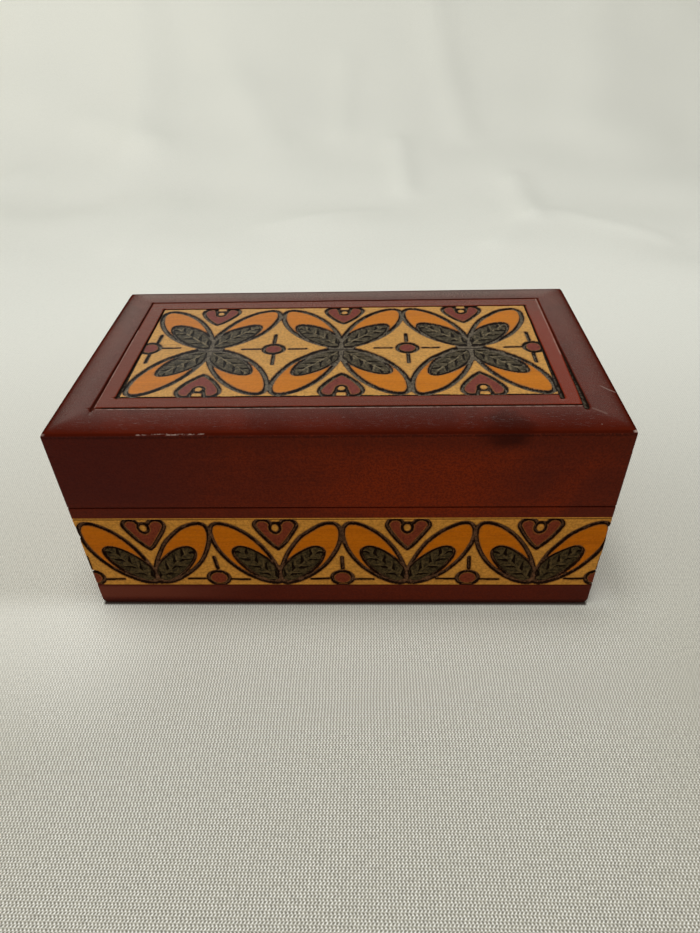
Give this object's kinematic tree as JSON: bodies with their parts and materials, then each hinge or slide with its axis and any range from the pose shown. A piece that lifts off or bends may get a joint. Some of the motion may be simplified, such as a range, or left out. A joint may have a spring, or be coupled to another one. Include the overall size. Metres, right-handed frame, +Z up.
{
  "type": "carved wooden trinket box",
  "caption": "Small rectangular wooden box with a hinged lid, a rolled border and a carved, painted folk pattern of petals, leaves, hearts and dots.",
  "frame": {"origin": "middle of the underside, where the box rests on a table", "axes": "+X along the box's length to the right as seen from the front, +Y from front to back, +Z up; the hinges are at the back (+Y)"},
  "size_m": [0.15, 0.085, 0.066],
  "materials": {
    "carved_wood": "linden wood, carved and painted, stained dark red-brown at its borders, satin varnish",
    "stained_wood": "linden wood, stained dark red-brown, satin varnish",
    "bare_wood": "bare linden plywood, sanded",
    "hinge_brass": "stamped brass, slightly dulled",
    "screw_brass": "turned brass"
  },
  "bodies": {
    "body": {"body_front_wall": "carved_wood", "body_back_wall": "carved_wood", "body_left_wall": "carved_wood", "body_right_wall": "carved_wood", "bottom_board": "bare_wood", "hinge_left_body_leaf": "hinge_brass", "hinge_left_pin": "hinge_brass", "hinge_right_body_leaf": "hinge_brass", "hinge_right_pin": "hinge_brass", "hinge_screws_body": "screw_brass"},
    "lid": {"lid_top_board": "carved_wood", "lid_front_wall": "stained_wood", "lid_back_wall": "stained_wood", "lid_left_wall": "stained_wood", "lid_right_wall": "stained_wood", "hinge_left_lid_leaf": "hinge_brass", "hinge_right_lid_leaf": "hinge_brass", "hinge_screws_lid": "screw_brass"}
  },
  "joints": [
    {"name": "lid_hinge", "type": "hinge", "parent": "body", "child": "lid", "pos_m": [0, 0.041, 0.04], "axis": [-1, 0, 0], "range_deg": [0, 105]}
  ]
}
